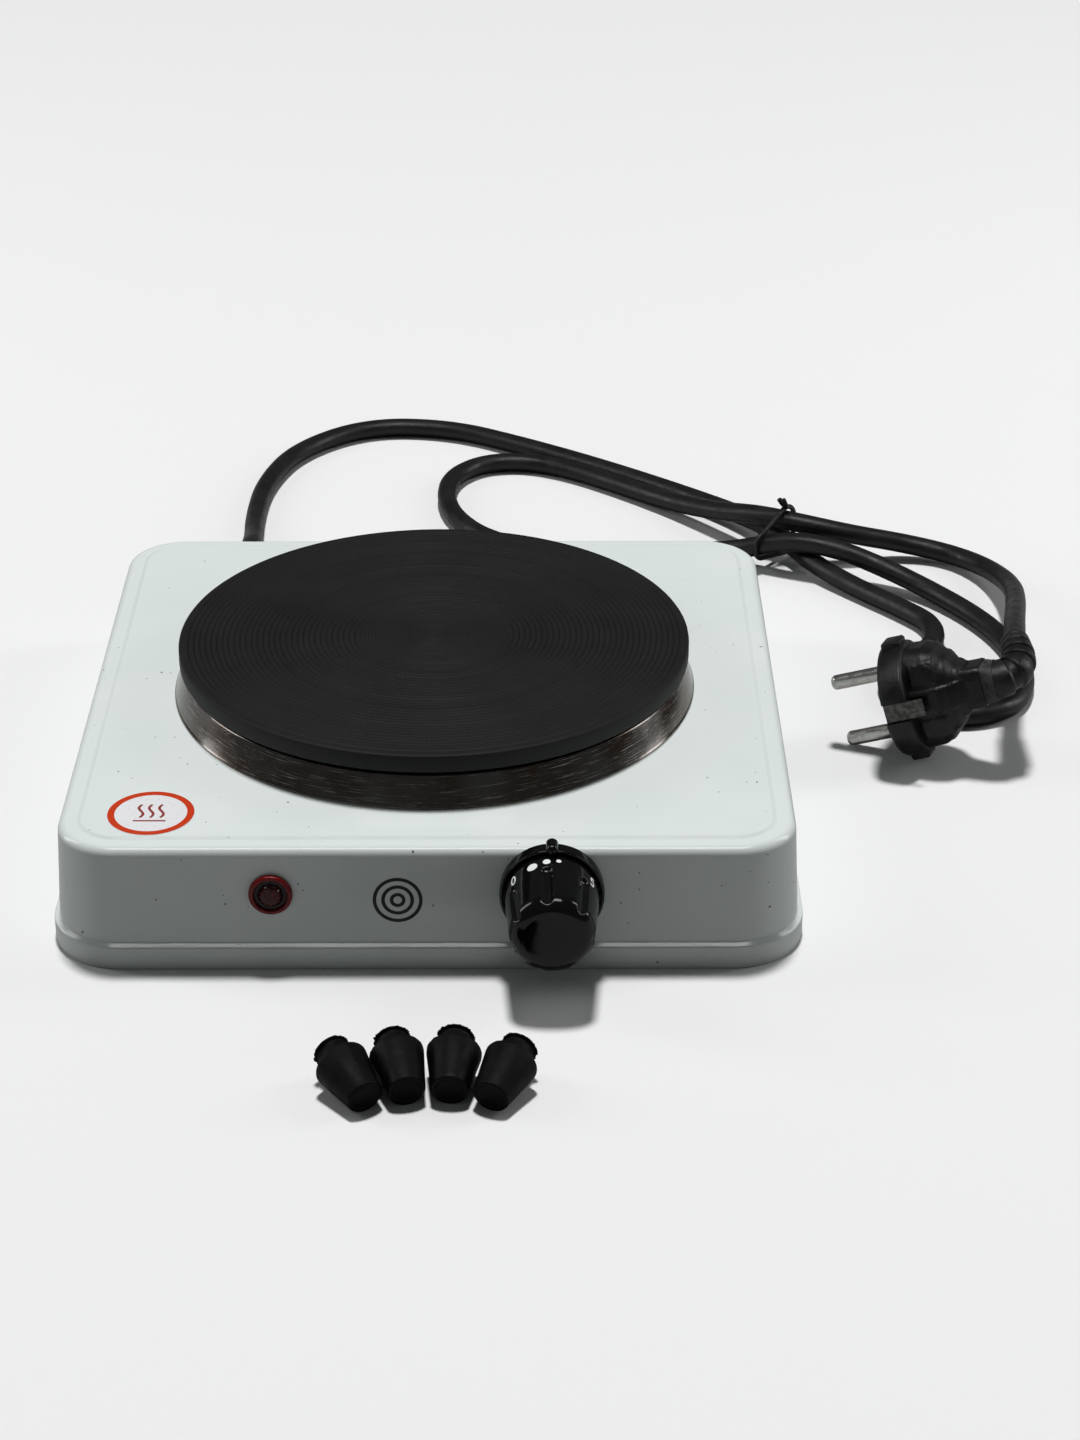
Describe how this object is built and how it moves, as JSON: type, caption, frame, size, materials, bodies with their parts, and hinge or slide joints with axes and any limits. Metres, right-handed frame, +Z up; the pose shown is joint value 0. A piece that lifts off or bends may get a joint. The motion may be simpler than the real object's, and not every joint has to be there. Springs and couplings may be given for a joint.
{
  "type": "hot plate burner",
  "caption": "Countertop electric hot plate: square enamelled steel body, ribbed cast iron plate, thermostat knob, indicator lamp, mains lead with plug, and loose rubber feet.",
  "frame": {"origin": "middle of the underside of the base plate, on the table", "axes": "+X to the right seen from the knob side, +Y to the back where the lead leaves, +Z up"},
  "size_m": [0.3072, 0.4648, 0.0544],
  "materials": {
    "enamel_white": "gloss white enamel on sheet steel",
    "zinc_sheet": "zinc plated sheet steel",
    "steel": "bright zinc plated steel",
    "cast_iron": "matt black heat-proof coating",
    "stainless": "polished stainless steel",
    "coil_wire": "oxidised resistance wire",
    "magnesia": "pressed magnesia",
    "steatite": "unglazed steatite",
    "brass": "bright brass",
    "aluminised": "aluminised sheet",
    "bimetal": "rolled bimetal",
    "silver": "silver contact",
    "black_gloss": "glossy black phenolic",
    "red_lens": "clear red polycarbonate",
    "white_plastic": "white nylon",
    "lamp_glass": "clear glass",
    "resistor": "lacquered resistor",
    "spring_steel": "spring steel",
    "black_rubber": "matt black rubber",
    "pvc_black": "black PVC, satin",
    "brown_wire": "brown PVC",
    "blue_wire": "blue PVC",
    "earth_wire": "green and yellow PVC",
    "glass_sleeve": "woven glass sleeving",
    "label": "printed film label, red ring",
    "print_black": "black print",
    "nickel": "nickel plated brass"
  },
  "bodies": {
    "burner": {"housing_shell": "enamel_white", "base_plate": "zinc_sheet", "corner_brackets": "zinc_sheet", "base_screws": "steel", "hotplate_casting": "cast_iron", "trim_ring": "stainless", "heating_coil": "coil_wire", "element_insulation": "magnesia", "heater_cover": "zinc_sheet", "plate_terminal_block": "steatite", "plate_terminals": "brass", "center_stud": "steel", "clamp_bridge": "zinc_sheet", "heat_shield": "aluminised", "stud_washer": "steel", "stud_nut": "steel", "thermostat_frame": "zinc_sheet", "thermostat_ceramics": "steatite", "adjusting_blade": "spring_steel", "contact_blade": "brass", "bimetal_strip": "bimetal", "contact_points": "silver", "stack_rivet": "steel", "thermostat_bushing": "brass", "bushing_nut": "brass", "knob_bezel": "black_gloss", "lamp_lens": "red_lens", "lamp_holder": "white_plastic", "neon_bulb": "lamp_glass", "lamp_resistor": "resistor", "lamp_clip": "spring_steel", "cord_gland": "pvc_black", "inner_cord": "pvc_black", "cord_clamp": "white_plastic", "block_and_clamp_screws": "steel", "terminal_block": "steatite", "terminal_poles": "brass", "earth_screw": "steel", "wire_live": "brown_wire", "wire_neutral": "blue_wire", "wire_earth": "earth_wire", "lead_thermostat": "glass_sleeve", "lead_heater_live": "glass_sleeve", "lead_heater_neutral": "glass_sleeve", "lamp_leads": "glass_sleeve", "caution_label": "label", "front_emblem": "print_black", "power_cord": "pvc_black", "cord_tie": "black_rubber", "plug_body": "pvc_black", "plug_pins": "nickel", "plug_earth_contacts": "nickel", "plug_strain_relief": "pvc_black"},
    "knob": {"knob": "black_gloss", "knob_clip": "spring_steel", "spindle": "brass"},
    "foot_1": {"foot_1": "black_rubber"},
    "foot_2": {"foot_2": "black_rubber"},
    "foot_3": {"foot_3": "black_rubber"},
    "foot_4": {"foot_4": "black_rubber"}
  },
  "joints": [
    {"name": "knob_turn", "type": "hinge", "parent": "burner", "child": "knob", "pos_m": [0.0352, -0.11, 0.0245], "axis": [0, 1, 0], "range_deg": [0, 302]},
    {"name": "foot_1_lift", "type": "slide", "parent": "burner", "child": "foot_1", "axis": [0, 0, 1], "range_m": [0, 0.04]},
    {"name": "foot_2_lift", "type": "slide", "parent": "burner", "child": "foot_2", "axis": [0, 0, 1], "range_m": [0, 0.04]},
    {"name": "foot_3_lift", "type": "slide", "parent": "burner", "child": "foot_3", "axis": [0, 0, 1], "range_m": [0, 0.04]},
    {"name": "foot_4_lift", "type": "slide", "parent": "burner", "child": "foot_4", "axis": [0, 0, 1], "range_m": [0, 0.04]}
  ]
}
